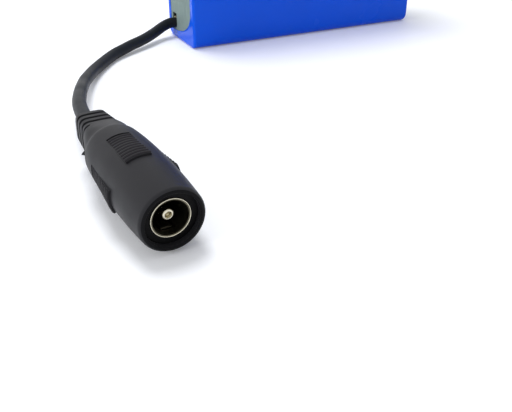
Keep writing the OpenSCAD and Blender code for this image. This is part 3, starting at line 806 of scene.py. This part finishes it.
studio = {
    "floorHalf": 4, "floorRough": 0.6, "floorSpecular": 0.2,  # half the floor's side, in metres
    "floorTone": tone(244, 246, 250), "floorLift": 0.14, "worldDark": 0.05, "worldBright": 0.69,
    "worldAim": (-0.15, 0.45, 0.88), "worldSpan": (-0.5, 0.8), "worldTint": (0.97, 0.98, 1, 1),
    "lamps": [
        {"name": "topLamp", "place": (-60, 95, 465), "aim": (-50, -40, 0), "size": 230, "power": 1.5},
        {"name": "leftLamp", "place": (-420, -120, 150), "aim": (-60, -30, 10), "size": 200, "power": 0.5},
    ],
}


def seenDirectly(tree):
    # 1 where the camera, a reflection or a clear material looks, 0 where only light is gathered
    path = node(tree, "ShaderNodeLightPath").outputs
    seen = node(tree, "ShaderNodeMath", operation="MAXIMUM")
    tree.links.new(path["Is Camera Ray"], seen.inputs[0])
    tree.links.new(path["Is Glossy Ray"], seen.inputs[1])
    either = node(tree, "ShaderNodeMath", operation="MAXIMUM")
    tree.links.new(seen.outputs[0], either.inputs[0])
    tree.links.new(path["Is Transmission Ray"], either.inputs[1])
    return either.outputs[0]


def makeFloor():
    mesh = bpy.data.meshes.new("floor")
    half = studio["floorHalf"]
    corners = [(-half, -half, 0), (half, -half, 0), (half, half, 0), (-half, half, 0)]
    mesh.from_pydata(corners, [], [(0, 1, 2, 3)])
    floor = bpy.data.objects.new("floor", mesh)
    bpy.context.scene.collection.objects.link(floor)
    material = bpy.data.materials.new("floorWhite")
    material.use_nodes = True
    tree = material.node_tree
    shader = tree.nodes["Principled BSDF"]
    shader.inputs["Base Color"].default_value = studio["floorTone"]
    shader.inputs["Roughness"].default_value = studio["floorRough"]
    shader.inputs["Specular IOR Level"].default_value = studio["floorSpecular"]
    # where it is looked at, the floor is lifted to white and its shadows stay
    lift = node(tree, "ShaderNodeEmission")
    lift.inputs["Strength"].default_value = studio["floorLift"]
    total = node(tree, "ShaderNodeAddShader")
    tree.links.new(shader.outputs[0], total.inputs[0])
    tree.links.new(lift.outputs[0], total.inputs[1])
    mix = node(tree, "ShaderNodeMixShader")
    tree.links.new(seenDirectly(tree), mix.inputs[0])
    tree.links.new(shader.outputs[0], mix.inputs[1])
    tree.links.new(total.outputs[0], mix.inputs[2])
    tree.links.new(mix.outputs[0], tree.nodes["Material Output"].inputs["Surface"])
    mesh.materials.append(material)


def makeWorld():
    world = bpy.data.worlds.new("studio")
    bpy.context.scene.world = world
    world.use_nodes = True
    tree = world.node_tree
    tree.nodes.clear()
    output = node(tree, "ShaderNodeOutputWorld")
    fill = node(tree, "ShaderNodeBackground")
    fill.inputs["Color"].default_value = studio["worldTint"]
    place = node(tree, "ShaderNodeTexCoord")
    facing = node(tree, "ShaderNodeVectorMath", operation="DOT_PRODUCT")
    facing.inputs[1].default_value = Vector(studio["worldAim"]).normalized()
    tree.links.new(place.outputs["Generated"], facing.inputs[0])
    dark, bright = studio["worldDark"], studio["worldBright"]
    glow = ranged(tree, facing.outputs["Value"], dark, bright, *studio["worldSpan"])
    tree.links.new(glow, fill.inputs["Strength"])
    seen = node(tree, "ShaderNodeBackground")
    seen.inputs["Color"].default_value = (1, 1, 1, 1)
    seen.inputs["Strength"].default_value = 1
    mix = node(tree, "ShaderNodeMixShader")
    tree.links.new(seenDirectly(tree), mix.inputs[0])
    tree.links.new(fill.outputs[0], mix.inputs[1])
    tree.links.new(seen.outputs[0], mix.inputs[2])
    tree.links.new(mix.outputs[0], output.inputs["Surface"])


def makeLamps():
    for lamp in studio["lamps"]:
        data = bpy.data.lights.new(lamp["name"], "AREA")
        data.shape = "DISK"
        data.size = lamp["size"] * mm
        data.energy = lamp["power"]
        made = bpy.data.objects.new(lamp["name"], data)
        made.location = Vector(lamp["place"]) * mm
        aim = (Vector(lamp["aim"]) - Vector(lamp["place"])).to_track_quat("-Z", "Y")
        made.rotation_mode = "QUATERNION"
        made.rotation_quaternion = aim
        made.visible_glossy = False
        bpy.context.scene.collection.objects.link(made)


makeFloor()
makeWorld()
makeLamps()
bpy.context.scene.view_settings.view_transform = "Standard"
print("studio made")
